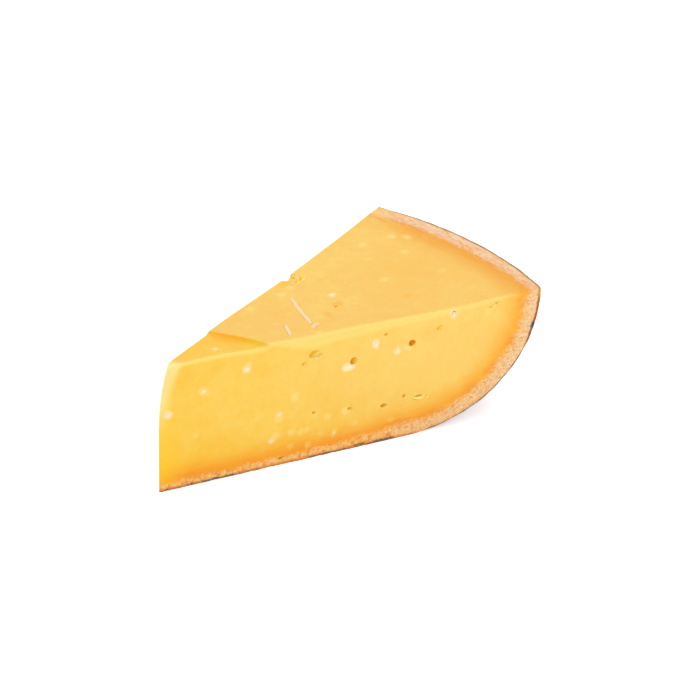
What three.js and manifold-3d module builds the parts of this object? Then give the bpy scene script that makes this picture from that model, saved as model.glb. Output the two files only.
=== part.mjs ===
// A wedge of hard, aged wheel cheese, cut from the lower half of a wheel.
//
// The wheel lies flat and was halved level with a long knife, then cut twice towards its middle. So the
// wedge has a pale cut top, two upright cut sides that meet in a blunt point, and the wheel's own rind
// underneath and round the outside. A thin slice has broken off the top at the point.
//
// Units are millimetres and +Z is up. +X runs from the point to the rind along the middle of the wedge, and
// the origin is under the middle of its length, on the surface that it rests on.
//
// "Reach" is the distance from the upright line in which the two cuts would meet, just past the wheel's
// axis. "Across" runs from 0 on the front cut (towards -Y) to 1 on the back cut.
import * as THREE from "three";
import { mergeVertices } from "three/addons/utils/BufferGeometryUtils.js";
import Module from "manifold-3d";

const { degToRad, lerp, smoothstep, clamp } = THREE.MathUtils;
const wasm = await Module();
wasm.setup();

// ---- Driving dimensions -------------------------------------------------------------------------------

const WHEEL_RADIUS = 175;
const RIM_HEIGHT = 58; // half of the wheel's height
const CUT_ANGLE = degToRad(34); // between the two upright cuts
const CUTS_MEET = 3.4; // past the wheel's axis
const NOSE_REACH = 2.6; // the blunt point

// The wheel stands on a flat underside and bulges up to its rim. A power of 2 is an ellipse, more is squarer.
const BOTTOM_FLAT_RADIUS = 112;
const SHOULDER_POWER = 2.04;

// The level cut dips through the middle of the wheel, with a long ripple across it.
const DISH = { depth: 1.3, fromReach: 142, toReach: 174 };
const RIPPLE = { height: 0.3, length: 80, crestReach: 91, skew: 26 };

// The broken slice's edge crosses the top in a shallow bow, steep above and flatter at its foot. Along the
// front cut the top stands highest there, and the slice's floor falls away towards the back cut.
const SLICE = { front: 53.5, back: 42.3, bow: 2.1, slope: 2.6, hollow: 1.7 };
const FLOOR = { front: 0.8, back: -1.5, hollow: 1.6 }; // above the rim's height
const FLOOR_DIP = { depth: 1.3, run: 26 }; // towards the front end of the slice's edge
const LIP = { front: { rise: 2.4, run: 18 }, back: { rise: 0.8, run: 38 } };

// Worn edges, broadest just past the slice, and the point, which leans in more and more towards the top.
const EDGE_ROUND = { slice: 1.4, broadest: 2.9, rim: 0.8, broadestReach: 72, back: 0.7 };
const NOSE_ROUND = { bottom: 1.2, top: 4.6 };
const NOSE_LEAN = { by: 8, above: 14, bend: 4 };

// Eyes in the front cut: reach and height of the middle, then width, height and depth of the opening.
const FRONT_EYES = [
  [73.3, 49.6, 6.0, 3.6, 1.4],
  [68.2, 46.2, 2.3, 1.6, 0.7],
  [90.7, 42.4, 3.4, 3.2, 1.4],
  [105.6, 51.6, 1.8, 1.4, 1.0],
  [117.7, 44.9, 3.2, 2.9, 1.4],
  [130.6, 48.9, 3.2, 2.3, 0.9],
  [137.3, 54.6, 2.0, 2.2, 0.8],
  [154.6, 54.0, 1.5, 1.0, 0.6],
  [157.4, 55.2, 1.4, 0.9, 0.6],
  [72.4, 21.7, 1.9, 1.3, 0.7],
  [88.9, 19.8, 2.6, 1.2, 0.8],
  [104.7, 17.4, 3.4, 1.6, 1.2],
  [114.1, 19.8, 1.4, 2.0, 0.9],
  [121.9, 17.5, 7.4, 2.2, 0.7],
  [57.0, 3.3, 2.4, 1.4, 0.8],
];
// The back cut has eyes of the same sizes, spread evenly between these reaches and heights.
const BACK_EYES = { reach: [34, 146], height: [15, 51] };

// Hollows in the top: reach and turn from the middle of the wedge, then length outwards, width and depth.
// The first four are one ragged eye that breaks through the edge of the back cut.
const TOP_HOLLOWS = [
  [101.2, degToRad(17.0), 7.6, 8.0, 2.5],
  [104.2, degToRad(15.0), 3.2, 3.6, 1.0],
  [103.8, degToRad(13.0), 3.6, 3.0, 0.7],
  [100.4, degToRad(12.9), 3.4, 2.4, 0.7],
  [95.4, degToRad(-3.5), 2.2, 1.6, 0.8],
];

// Curls of cheese that the knife left standing on the top: reach and turn of points along each.
const CURL_WIDTH = 1.6;
const CURL_SINK = 0.45; // how far the middle of a curl lies under the surface
const CURLS = [
  [
    [86.5, degToRad(8.2)],
    [84.1, degToRad(5.4)],
    [82.2, degToRad(3.0)],
    [79.9, degToRad(-1.6)],
    [77.7, degToRad(-7.2)],
  ],
  [
    [68.5, degToRad(-3.4)],
    [66.4, degToRad(-7.8)],
    [65.1, degToRad(-11.6)],
  ],
  [
    [76.3, degToRad(-10.6)],
    [78.2, degToRad(-9.2)],
    [80.8, degToRad(-9.0)],
  ],
];

// Steps of the mesh: from the point to the slice's edge, over it, on to the rind, from cut to cut, upwards.
const STEPS = { tip: 11, riser: 2, body: 27, across: 14, up: 16 };
const FINE_HOLLOW = 3.5; // hollows longer than this have more faces

const halfAngle = CUT_ANGLE / 2;

// ---- The cut wedge ------------------------------------------------------------------------------------

// The rind's outline from the end of the flat underside (0) up to the rim (1).
function rindOutline(t) {
  const turn = (t * Math.PI) / 2;
  const power = 2 / SHOULDER_POWER;
  return {
    radius: lerp(BOTTOM_FLAT_RADIUS, WHEEL_RADIUS, Math.sin(turn) ** power),
    height: RIM_HEIGHT * (1 - Math.max(0, Math.cos(turn)) ** power),
  };
}

function sliceEdge(across) {
  return lerp(SLICE.front, SLICE.back, across) - SLICE.bow * 4 * across * (1 - across);
}

function topHeight(reach, across) {
  const level = 1 - smoothstep(reach, DISH.fromReach, DISH.toReach);
  const wave = Math.cos((2 * Math.PI * (reach - RIPPLE.crestReach + RIPPLE.skew * across)) / RIPPLE.length);
  const past = reach - sliceEdge(across);
  const run = lerp(LIP.front.run, LIP.back.run, across);
  const lip = lerp(LIP.front.rise, LIP.back.rise, across) * (1 - smoothstep(past, 0, run));
  const cut = RIM_HEIGHT + level * (RIPPLE.height * wave - DISH.depth) + lip;
  const front = FLOOR.front - FLOOR_DIP.depth * smoothstep(past, -FLOOR_DIP.run, 0);
  const floor = RIM_HEIGHT + lerp(FLOOR.back, front, (1 - across) ** FLOOR.hollow);
  return lerp(floor, cut, clamp(1 + past / SLICE.slope, 0, 1) ** SLICE.hollow);
}

function edgeRound(reach, across) {
  const { slice, broadest, rim, broadestReach, back } = EDGE_ROUND;
  const front =
    reach < broadestReach
      ? lerp(slice, broadest, smoothstep(reach, sliceEdge(across), broadestReach))
      : lerp(broadest, rim, (reach - broadestReach) / (WHEEL_RADIUS - broadestReach));
  return lerp(front, back, across);
}

// Rounds the edges between the cuts. Each face pulls in the points that lie closer to it than its rounding
// and to another face as well, so that two faces meet in a quarter circle and three in a ball.
function roundEdges(point, faces) {
  const near = faces.map(({ depth, round }) => clamp(1 - depth / round, 0, 1));
  const length = Math.hypot(...near);
  if (length <= 1) return;
  faces.forEach(({ inward, round }, i) => {
    point.addScaledVector(inward, round * near[i] * (1 - 1 / length));
  });
}

// How far out the grid line of this step lies: the steps crowd at the point and at the rind, and two of
// them follow the foot and the top of the slice's edge.
function reachAt(step, nose, across, rim) {
  const foot = sliceEdge(across) - SLICE.slope;
  const { tip, riser, body } = STEPS;
  if (step <= tip) return lerp(nose, foot, (step / tip) * (0.3 + (0.7 * step) / tip));
  if (step <= tip + riser) return lerp(foot, sliceEdge(across), (step - tip) / riser);
  const left = 1 - (step - tip - riser) / body;
  return lerp(rim, sliceEdge(across), left * (0.4 + 0.6 * left));
}

// Where a point of the unit box goes: a runs from the point to the rind, b from the front to the back cut
// and c upwards.
function place(a, b, c) {
  const across = b - (0.75 * Math.sin(2 * Math.PI * b)) / (2 * Math.PI);
  const up = c * (1.65 - 0.65 * c);
  const turn = lerp(-halfAngle, halfAngle, across);
  const rind = rindOutline(up);
  const level = lerp(up * RIM_HEIGHT, rind.height, a);
  const leaning = Math.max(0, (level - NOSE_LEAN.above) / (RIM_HEIGHT - NOSE_LEAN.above));
  const nose = NOSE_REACH / Math.cos(turn) + NOSE_LEAN.by * leaning ** NOSE_LEAN.bend;
  const rim = rind.radius + CUTS_MEET * Math.cos(turn);
  const reach = reachAt(a * (STEPS.tip + STEPS.riser + STEPS.body), nose, across, rim);
  const top = topHeight(reach, across);
  const point = new THREE.Vector3(
    reach * Math.cos(turn) - CUTS_MEET,
    reach * Math.sin(turn),
    (level * top) / RIM_HEIGHT,
  );

  const topRound = edgeRound(reach, across);
  const noseRound = lerp(NOSE_ROUND.bottom, NOSE_ROUND.top, level / RIM_HEIGHT);
  const sideRound = lerp(noseRound, topRound, smoothstep(reach, 2 * NOSE_REACH, 6 * NOSE_REACH));
  const [sin, cos] = [Math.sin(halfAngle), Math.cos(halfAngle)];
  roundEdges(point, [
    { inward: new THREE.Vector3(sin, cos, 0), depth: reach * Math.sin(turn + halfAngle), round: sideRound },
    { inward: new THREE.Vector3(sin, -cos, 0), depth: reach * Math.sin(halfAngle - turn), round: sideRound },
    { inward: new THREE.Vector3(0, 0, -1), depth: top - point.z, round: topRound },
    { inward: new THREE.Vector3(1, 0, 0), depth: reach - nose, round: noseRound },
  ]);
  return point;
}

function wedgeGeometry() {
  const outwards = STEPS.tip + STEPS.riser + STEPS.body;
  const geometry = new THREE.BoxGeometry(1, 1, 1, outwards, STEPS.across, STEPS.up);
  const corners = geometry.attributes.position;
  for (let i = 0; i < corners.count; i++) {
    corners.setXYZ(i, ...place(corners.getX(i) + 0.5, corners.getY(i) + 0.5, corners.getZ(i) + 0.5));
  }
  return geometry;
}

// ---- Eyes and curls -----------------------------------------------------------------------------------

// A lumpy ball, since an eye is torn a little out of round. Each seed gives another one.
function lumpyBall(size, seed) {
  const geometry = new THREE.IcosahedronGeometry(1, size > FINE_HOLLOW ? 2 : 1);
  const corners = geometry.attributes.position;
  const lump = 0.16;
  for (let i = 0; i < corners.count; i++) {
    const corner = new THREE.Vector3().fromBufferAttribute(corners, i);
    const swell =
      Math.sin(3.1 * corner.x + 1.7 * seed) * Math.sin(2.7 * corner.y + 2.3 * seed) +
      Math.sin(4.3 * corner.z + 0.9 * seed + 2 * corner.x);
    corner.multiplyScalar(1 + lump * swell);
    corners.setXYZ(i, corner.x, corner.y, corner.z);
  }
  return geometry;
}

// A hollow in an upright cut, which lies at this turn from the middle of the wedge.
function sideHollow([reach, height, wide, tall, deep], turn, seed) {
  return lumpyBall(wide, seed)
    .scale(wide / 2, deep, tall / 2)
    .translate(reach, 0, height)
    .rotateZ(turn)
    .translate(-CUTS_MEET, 0, 0);
}

const acrossAt = (turn) => turn / CUT_ANGLE + 0.5;

function topHollow([reach, turn, long, wide, deep], seed) {
  return lumpyBall(long, seed)
    .scale(long / 2, wide / 2, deep)
    .translate(reach, 0, topHeight(reach, acrossAt(turn)))
    .rotateZ(turn)
    .translate(-CUTS_MEET, 0, 0);
}

// Two unrelated even spreads over 0 to 1, so that the eyes neither line up nor bunch.
const spread = (i, stride) => (0.5 + i * stride) % 1;

function backEyes() {
  return FRONT_EYES.map(([, , ...size], i) => [
    lerp(...BACK_EYES.reach, spread(i, 0.7549)),
    lerp(...BACK_EYES.height, spread(i, 0.5698)),
    ...size,
  ]);
}

function curl(points) {
  const path = new THREE.CatmullRomCurve3(
    points.map(
      ([reach, turn]) =>
        new THREE.Vector3(
          reach * Math.cos(turn) - CUTS_MEET,
          reach * Math.sin(turn),
          topHeight(reach, acrossAt(turn)) - CURL_SINK,
        ),
    ),
  );
  const section = new THREE.Shape().absellipse(0, 0, CURL_WIDTH / 2, CURL_WIDTH / 2, 0, 2 * Math.PI);
  return new THREE.ExtrudeGeometry(section, { extrudePath: path, steps: 10, curveSegments: 4 });
}

// ---- Joining and cutting ------------------------------------------------------------------------------

function toSolid(geometry) {
  geometry.deleteAttribute("normal");
  geometry.deleteAttribute("uv");
  const merged = mergeVertices(geometry, 1e-4);
  return new wasm.Manifold(
    new wasm.Mesh({
      numProp: 3,
      vertProperties: new Float32Array(merged.attributes.position.array),
      triVerts: new Uint32Array(merged.index.array),
    }),
  );
}

function toGeometry(solid) {
  const mesh = solid.getMesh();
  const geometry = new THREE.BufferGeometry();
  geometry.setAttribute("position", new THREE.BufferAttribute(mesh.vertProperties, 3));
  geometry.setIndex(new THREE.BufferAttribute(mesh.triVerts, 1));
  geometry.computeVertexNormals();
  return geometry;
}

function cheeseWedge() {
  let solid = toSolid(wedgeGeometry());
  for (const points of CURLS) solid = solid.add(toSolid(curl(points)));
  const hollows = [
    ...FRONT_EYES.map((eye, i) => sideHollow(eye, -halfAngle, i)),
    ...backEyes().map((eye, i) => sideHollow(eye, halfAngle, FRONT_EYES.length + i)),
    ...TOP_HOLLOWS.map((hollow, i) => topHollow(hollow, 2 * FRONT_EYES.length + i)),
  ];
  for (const hollow of hollows) solid = solid.subtract(toSolid(hollow));
  return toGeometry(solid);
}

// ---- The part -----------------------------------------------------------------------------------------

const cheese = new THREE.MeshStandardMaterial({ color: "#f8cd6a", roughness: 0.5, metalness: 0 });

const wedge = new THREE.Mesh(cheeseWedge(), cheese);
wedge.name = "cheese_wedge";
wedge.geometry.computeBoundingBox();
wedge.position.x = -(wedge.geometry.boundingBox.min.x + wedge.geometry.boundingBox.max.x) / 2;

const part = new THREE.Group();
part.add(wedge);

export default part;
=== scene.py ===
from math import cos, pi, radians, sin

import bpy
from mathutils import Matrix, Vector


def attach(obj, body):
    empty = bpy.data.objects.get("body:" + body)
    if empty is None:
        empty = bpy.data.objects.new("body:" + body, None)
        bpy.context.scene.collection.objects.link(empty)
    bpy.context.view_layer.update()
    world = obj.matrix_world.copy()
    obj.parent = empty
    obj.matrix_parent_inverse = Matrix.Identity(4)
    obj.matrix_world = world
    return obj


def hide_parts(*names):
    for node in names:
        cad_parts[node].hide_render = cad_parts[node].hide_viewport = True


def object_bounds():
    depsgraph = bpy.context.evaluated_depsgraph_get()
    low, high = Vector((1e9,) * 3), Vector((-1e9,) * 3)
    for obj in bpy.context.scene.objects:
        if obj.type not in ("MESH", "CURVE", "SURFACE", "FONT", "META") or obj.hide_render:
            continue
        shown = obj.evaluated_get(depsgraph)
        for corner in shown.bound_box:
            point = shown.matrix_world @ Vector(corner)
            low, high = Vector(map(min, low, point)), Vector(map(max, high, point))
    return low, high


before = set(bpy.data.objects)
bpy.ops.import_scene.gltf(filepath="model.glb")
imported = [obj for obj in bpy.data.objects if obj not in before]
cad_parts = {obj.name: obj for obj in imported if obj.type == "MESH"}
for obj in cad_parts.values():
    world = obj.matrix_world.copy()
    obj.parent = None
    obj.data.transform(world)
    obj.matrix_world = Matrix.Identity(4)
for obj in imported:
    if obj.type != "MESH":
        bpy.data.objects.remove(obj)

cadLow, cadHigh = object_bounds()
mm = 0.001
noiseLump = 0.6  # metres across a lump of noise at scale 1
print("frame loaded:", sorted(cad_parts))


# Arithmetic on wires adds the nodes that work it out, in geometry trees and in materials alike.
class Wire:
    def __init__(self, tree, socket):
        self.tree = tree
        self.socket = socket

    def math(self, operation, *values):
        return self.tree.work(operation, self, *values)

    def __add__(self, value):
        return self.math("ADD", value)

    def __sub__(self, value):
        return self.math("SUBTRACT", value)

    def __rsub__(self, value):
        return self.tree.work("SUBTRACT", value, self)

    def __mul__(self, value):
        return self.math("MULTIPLY", value)

    def __truediv__(self, value):
        return self.math("DIVIDE", value)

    def __rtruediv__(self, value):
        return self.tree.work("DIVIDE", value, self)

    def __pow__(self, value):
        return self.math("POWER", value)

    def __neg__(self):
        return self.math("MULTIPLY", -1)

    __radd__ = __add__
    __rmul__ = __mul__

    # another output of the node that this wire comes from
    def other(self, output):
        return Wire(self.tree, self.socket.node.outputs[output])

    def split(self):
        x = self.tree.node("ShaderNodeSeparateXYZ", {}, {0: self})
        return x, x.other(1), x.other(2)


class Tree:
    def __init__(self, nodeTree):
        self.nodes = nodeTree.nodes
        self.links = nodeTree.links

    # one node: its settings first, then the values or wires of its sockets
    def node(self, kind, settings=None, inputs=None, output=0):
        made = self.nodes.new(kind)
        for name, value in (settings or {}).items():
            setattr(made, name, value)
        for key, value in (inputs or {}).items():
            self.feed(made.inputs[key], value)
        return Wire(self, made.outputs[output]) if made.outputs else made

    def feed(self, socket, value):
        if isinstance(value, Wire):
            self.links.new(value.socket, socket)
        elif socket.type == "VECTOR" and isinstance(value, (int, float)):
            socket.default_value = (value,) * 3
        else:
            socket.default_value = value

    def work(self, operation, *values):
        vectors = [v for v in values if isinstance(v, Wire) and v.socket.type == "VECTOR"]
        kind = "ShaderNodeVectorMath" if vectors else "ShaderNodeMath"
        return self.node(kind, {"operation": operation}, dict(enumerate(values)))

    def vector(self, x, y, z):
        return self.node("ShaderNodeCombineXYZ", {}, {0: x, 1: y, 2: z})

    def clamp(self, value):
        return self.node("ShaderNodeClamp", {}, {0: value})

    # smoothly from 0 at low to 1 at high
    def rise(self, value, low, high):
        settings = {"interpolation_type": "SMOOTHSTEP"}
        return self.node("ShaderNodeMapRange", settings, {0: value, 1: low, 2: high})

    # smoothly from 1 at low to 0 at high
    def fall(self, value, low, high):
        return 1 - self.rise(value, low, high)

    def between(self, part, first, second):
        return first + (second - first) * part

    # from the first colour, where part is 0, to the second
    def tint(self, part, first, second):
        return self.node("ShaderNodeMix", {"data_type": "RGBA"}, {0: part, 6: first, 7: second}, output=2)

    # noise in lumps of about this size: output 0 is a number, and output 1 has one for each direction
    def noise(self, place, size, seed=0, detail=2, roughness=0.5, output=0):
        inputs = {"Vector": place, "W": seed, "Scale": noiseLump / size}
        inputs.update({"Detail": detail, "Roughness": roughness})
        return self.node("ShaderNodeTexNoise", {"noise_dimensions": "4D"}, inputs, output)

    # the same, from about -1 to 1
    def grain(self, *details):
        return self.noise(*details) * 2 - 1

    # what the tree has stored on each point under this name
    def mark(self, name, kind="FLOAT"):
        return self.node("GeometryNodeInputNamedAttribute", {"data_type": kind}, {"Name": name})

    def store(self, geometry, marks):
        for name, value in marks.items():
            inputs = {0: geometry, "Name": name, "Value": value}
            geometry = self.node("GeometryNodeStoreNamedAttribute", {}, inputs)
        return geometry

    def move(self, geometry, **inputs):
        inputs = {name.capitalize(): value for name, value in inputs.items()}
        return self.node("GeometryNodeSetPosition", {}, {0: geometry, **inputs})


# A surface's own colour, from the code that it should show under a light this strong.
def linear(code, light):
    shares = [int(code[i:i + 2], 16) / 255 for i in (0, 2, 4)]
    return (*[(s / 12.92 if s <= 0.04045 else ((s + 0.055) / 1.055) ** 2.4) / light for s in shares], 1)


# Grows a piece from points: build(tree, points, size) returns its geometry, and each of sizes is an input.
def growPiece(name, mesh, sizes, build, material):
    nodeTree = bpy.data.node_groups.new(name, "GeometryNodeTree")
    interface = nodeTree.interface
    interface.new_socket("Points", in_out="INPUT", socket_type="NodeSocketGeometry")
    sockets = {
        key: interface.new_socket(key, in_out="INPUT", socket_type="NodeSocketFloat") for key in sizes
    }
    interface.new_socket("Piece", in_out="OUTPUT", socket_type="NodeSocketGeometry")
    tree = Tree(nodeTree)
    points = tree.node("NodeGroupInput")
    grown = build(tree, points, {key: points.other(key) for key in sizes})
    grown = tree.node("GeometryNodeRealizeInstances", {}, {0: grown})
    grown = tree.node("GeometryNodeSetMaterial", {}, {0: grown, "Material": material})
    tree.node("NodeGroupOutput", {}, {0: grown})

    piece = bpy.data.objects.new(name, mesh)
    bpy.context.scene.collection.objects.link(piece)
    modifier = piece.modifiers.new("grow", "NODES")
    modifier.node_group = nodeTree
    for key, socket in sockets.items():
        modifier[socket.identifier] = sizes[key]
    settled = piece.evaluated_get(bpy.context.evaluated_depsgraph_get())
    finished = bpy.data.meshes.new_from_object(settled)
    piece.modifiers.clear()
    piece.data = finished
    finished.name = name
    print(name, "grown with", sum(len(p.vertices) - 2 for p in finished.polygons), "triangles")
    return piece


# Places on the cheese are told as a cheesemonger would. Reach is the distance from the upright line where
# the two cuts would meet, turn is the angle from the middle of the wedge, and across is 0 on the front cut
# and 1 on the back cut.
wedge = {
    "wheelRadius": 175 * mm,
    "rimHeight": 58 * mm,  # half the wheel's height
    "cutAngle": radians(34),
    "cutsMeet": 3.4 * mm,  # past the wheel's axis
    "noseReach": 2.6 * mm,
    "flatRadius": 112 * mm,  # of the wheel's underside
    "shoulderPower": 2.04,
    "dishDepth": 1.3 * mm,
    "dishFrom": 142 * mm,
    "dishTo": 174 * mm,
    "rippleHeight": 0.3 * mm,
    "rippleLength": 80 * mm,
    "rippleCrest": 91 * mm,
    "rippleSkew": 26 * mm,
    "sliceFront": 53.5 * mm,  # the broken slice's edge, on the front cut
    "sliceBack": 42.3 * mm,
    "sliceBow": 2.1 * mm,
    "sliceSlope": 2.6 * mm,
    "sliceHollow": 1.7,  # steep under its edge, then flatter
    "floorFront": 0.8 * mm,  # above the rim's height
    "floorDip": 1.3 * mm,  # at the slice's edge, along the front cut
    "floorDipRun": 26 * mm,
    "floorBack": -1.5 * mm,
    "floorHollow": 1.6,
    "lipFront": 2.4 * mm,
    "lipFrontRun": 18 * mm,
    "lipBack": 0.8 * mm,
    "lipBackRun": 38 * mm,
    "roundSlice": 1.4 * mm,  # worn edges
    "roundBroadest": 2.9 * mm,
    "roundBroadestReach": 72 * mm,
    "roundRim": 0.8 * mm,
    "roundBack": 0.7 * mm,
    "roundNoseBottom": 1.2 * mm,
    "roundNoseTop": 4.6 * mm,
    "noseRoundFrom": 5.2 * mm,  # reach over which the nose's rounding gives way to the cuts'
    "noseRoundTo": 15.6 * mm,
    "noseLean": 8 * mm,
    "noseLeanAbove": 14 * mm,
    "noseLeanBend": 4,
    "cutWave": 0.1 * mm,  # low relief
    "rindLumps": 1.0 * mm,
    "wornAbove": 0.5 * mm,  # a rounding that is smaller shows no pale strip of wear and painted highlight
    "wornWidening": 2.4,  # how much faster that strip widens than the rounding
    # how far from the nose its pale strip of wear and painted glow reaches
    "noseWorn": 6.5 * mm,
}
wheelAxis = cadHigh.x - wedge["wheelRadius"]
halfAngle = wedge["cutAngle"] / 2
meshSteps = {"tip": 40, "riser": 5, "body": 150, "across": 84, "up": 76}  # cells of the grid
stepsAlong = meshSteps["tip"] + meshSteps["riser"] + meshSteps["body"]
crowding = {"tip": 0.6, "rind": 0.4, "cuts": 0.75, "top": 0.65}  # of its lines, 0 for even ones
sharpFrom = radians(42)  # an edge that bends more stays sharp


# From reach, turn and height to a place in the frame.
def placeAt(tree, size, reach, turn, height):
    x = reach * turn.math("COSINE") - size["cutsMeet"] + wheelAxis
    return tree.vector(x, reach * turn.math("SINE"), height)


def sliceEdge(tree, size, across):
    bow = size["sliceBow"] * across * (1 - across) * 4
    return tree.between(across, size["sliceFront"], size["sliceBack"]) - bow


def topHeight(tree, size, reach, across):
    level = tree.fall(reach, size["dishFrom"], size["dishTo"])
    phase = (reach - size["rippleCrest"] + size["rippleSkew"] * across) / size["rippleLength"]
    wave = (phase * (2 * pi)).math("COSINE") * size["rippleHeight"] - size["dishDepth"]
    past = reach - sliceEdge(tree, size, across)
    run = tree.between(across, size["lipFrontRun"], size["lipBackRun"])
    lip = tree.between(across, size["lipFront"], size["lipBack"]) * tree.fall(past, 0, run)
    cut = size["rimHeight"] + level * wave + lip
    floorFront = size["floorFront"] - tree.rise(past, -size["floorDipRun"], 0) * size["floorDip"]
    floorRise = tree.between((1 - across) ** size["floorHollow"], size["floorBack"], floorFront)
    onCut = tree.clamp(1 + past / size["sliceSlope"]) ** size["sliceHollow"]
    return tree.between(onCut, size["rimHeight"] + floorRise, cut)


def edgeRound(tree, size, reach, across):
    broadest, broadestReach = size["roundBroadest"], size["roundBroadestReach"]
    widening = tree.rise(reach, sliceEdge(tree, size, across), broadestReach)
    narrowing = tree.clamp((reach - broadestReach) / (size["wheelRadius"] - broadestReach))
    front = tree.between(widening, size["roundSlice"], broadest)
    front = tree.between(narrowing, front, size["roundRim"])
    return tree.between(across, front, size["roundBack"])


# Distance outwards at this part (0 to 1) of the way from the point to the rind. Two grid lines follow the
# foot and the top of the slice's edge, and the lines crowd at the point and at the rind.
def reachAlong(tree, size, part, nose, across, rim):
    edge = sliceEdge(tree, size, across)
    foot = edge - size["sliceSlope"]
    tip = tree.clamp(part * (stepsAlong / meshSteps["tip"]))
    riser = tree.clamp((part * stepsAlong - meshSteps["tip"]) / meshSteps["riser"])
    left = tree.clamp((1 - part) * (stepsAlong / meshSteps["body"]))
    inTip = tree.between(tip * (tip * crowding["tip"] + (1 - crowding["tip"])), nose, foot)
    beyond = rim - (rim - edge) * left * (left * crowding["rind"] + (1 - crowding["rind"]))
    return inTip + (edge - foot) * riser + (beyond - edge)


# The solid wedge without its eyes, bent from a cube whose grid runs from 0 to 1 along a (from the point to
# the rind), b (from the front cut to the back) and c (upwards).
def shapeBlock(tree, size):
    block = tree.node("GeometryNodeMeshCube", {}, {
        "Size": (1, 1, 1), "Vertices X": stepsAlong + 1,
        "Vertices Y": meshSteps["across"] + 1, "Vertices Z": meshSteps["up"] + 1,
    })
    a, b, c = (tree.node("GeometryNodeInputPosition") + 0.5).split()
    across = b - (b * (2 * pi)).math("SINE") * (crowding["cuts"] / (2 * pi))
    up = c * (1 + crowding["top"] - c * crowding["top"])
    turn = (across - 0.5) * size["cutAngle"]
    quarter, power = up * (pi / 2), 2 / size["shoulderPower"]
    rindRadius = tree.between(quarter.math("SINE") ** power, size["flatRadius"], size["wheelRadius"])
    rindHeight = size["rimHeight"] * (1 - quarter.math("COSINE").math("MAXIMUM", 0) ** power)
    level = tree.between(a, up * size["rimHeight"], rindHeight)
    aboveLean = (level - size["noseLeanAbove"]) / (size["rimHeight"] - size["noseLeanAbove"])
    lean = size["noseLean"] * aboveLean.math("MAXIMUM", 0) ** size["noseLeanBend"]
    nose = size["noseReach"] / turn.math("COSINE") + lean
    rim = rindRadius + size["cutsMeet"] * turn.math("COSINE")
    reach = reachAlong(tree, size, a, nose, across, rim)
    top = topHeight(tree, size, reach, across)
    height = level * top / size["rimHeight"]

    # each face pulls in what lies closer to it than its rounding and to another face as well
    topRound = edgeRound(tree, size, reach, across)
    noseRound = tree.between(level / size["rimHeight"], size["roundNoseBottom"], size["roundNoseTop"])
    offNose = tree.rise(reach, size["noseRoundFrom"], size["noseRoundTo"])
    sideRound = tree.between(offNose, noseRound, topRound)
    fromFront = reach * (turn + halfAngle).math("SINE")
    fromBack = reach * (halfAngle - turn).math("SINE")
    nearFront = tree.clamp(1 - fromFront / sideRound)
    nearBack = tree.clamp(1 - fromBack / sideRound)
    nearTop = tree.clamp(1 - (top - height) / topRound)
    nearNose = tree.clamp(1 - (reach - nose) / noseRound)
    near = nearFront * nearFront + nearBack * nearBack + nearTop * nearTop + nearNose * nearNose
    pull = tree.clamp(1 - 1 / near ** 0.5)
    inward = tree.vector(
        (nearFront + nearBack) * sideRound * sin(halfAngle) + nearNose * noseRound,
        (nearFront - nearBack) * sideRound * cos(halfAngle),
        -nearTop * topRound,
    )

    # what the finish needs to know about each place, before the points move
    wornHighlightWidth = (sideRound - size["wornAbove"]) * size["wornWidening"]
    wornHighlightCore = 0.25 * wornHighlightWidth
    offTop = tree.rise(top - height, wornHighlightCore, wornHighlightWidth)
    offFront = tree.rise(fromFront, wornHighlightCore, wornHighlightWidth)
    offBack = tree.rise(fromBack, wornHighlightCore, wornHighlightWidth)
    onRind = tree.rise(a, 1 - 1 / stepsAlong, 1)
    marks = {
        "topCut": tree.rise(c, 1 - 1.2 / meshSteps["up"], 1),
        # the pale strip along the worn edges: partly wear, partly painted highlight
        "wornAndHighlight": (1 - offTop) * (1 - offFront * offBack),
        "nose": tree.fall(reach - nose, 0.5 * mm, size["noseWorn"]),
        "skin": tree.work("MAXIMUM", onRind, tree.fall(c, 0, 1 / meshSteps["up"])),
        "eyeWall": 0.0,
        "eyeColourAndShade": 0.0,
    }
    place = placeAt(tree, size, reach, turn, height) + inward * pull
    return tree.move(tree.store(block, marks), position=place)


# Low relief along the surface: the knife leaves the cuts nearly flat, and the rind is lumpy.
reliefPlan = {"waveSize": 9 * mm, "lumpSize": 22 * mm, "knobSize": 5 * mm, "pitSize": 2.6 * mm}


def addRelief(tree, mesh, size):
    place = tree.node("GeometryNodeInputPosition")
    cutWave = tree.grain(place * (0.55, 0.3, 1), reliefPlan["waveSize"], 1, 1) * size["cutWave"]
    lumps = tree.grain(place, reliefPlan["lumpSize"], 2, 1) * 0.5
    lumps = lumps + tree.grain(place, reliefPlan["knobSize"], 3, 2) * 0.35
    pits = tree.grain(place, reliefPlan["pitSize"], 4, 1).math("MINIMUM", 0.1) * 0.4
    relief = tree.between(tree.mark("skin"), cutWave, (lumps + pits) * size["rindLumps"])
    mesh = tree.move(mesh, offset=tree.node("GeometryNodeInputNormal") * relief)
    x, y, z = tree.node("GeometryNodeInputPosition").split()
    return tree.move(mesh, position=tree.vector(x, y, z.math("MAXIMUM", 0)))


# Moves each spot from its (reach, turn, height) to its place on a cut, or on top where its height is below
# zero, and then inwards by how far it is sunk.
def placeSpots(tree, spots, size):
    reach, turn, height = tree.node("GeometryNodeInputPosition").split()
    onTop = height.math("LESS_THAN", 0)
    height = tree.between(onTop, height, topHeight(tree, size, reach, turn / size["cutAngle"] + 0.5))
    onSide = 1 - onTop
    inward = tree.vector(onSide * sin(halfAngle), onSide * turn.math("SIGN") * -cos(halfAngle), -onTop)
    place = placeAt(tree, size, reach, turn, height) + inward * tree.mark("sunk")
    return tree.move(tree.store(spots, {"turned": turn}), position=place)
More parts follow.
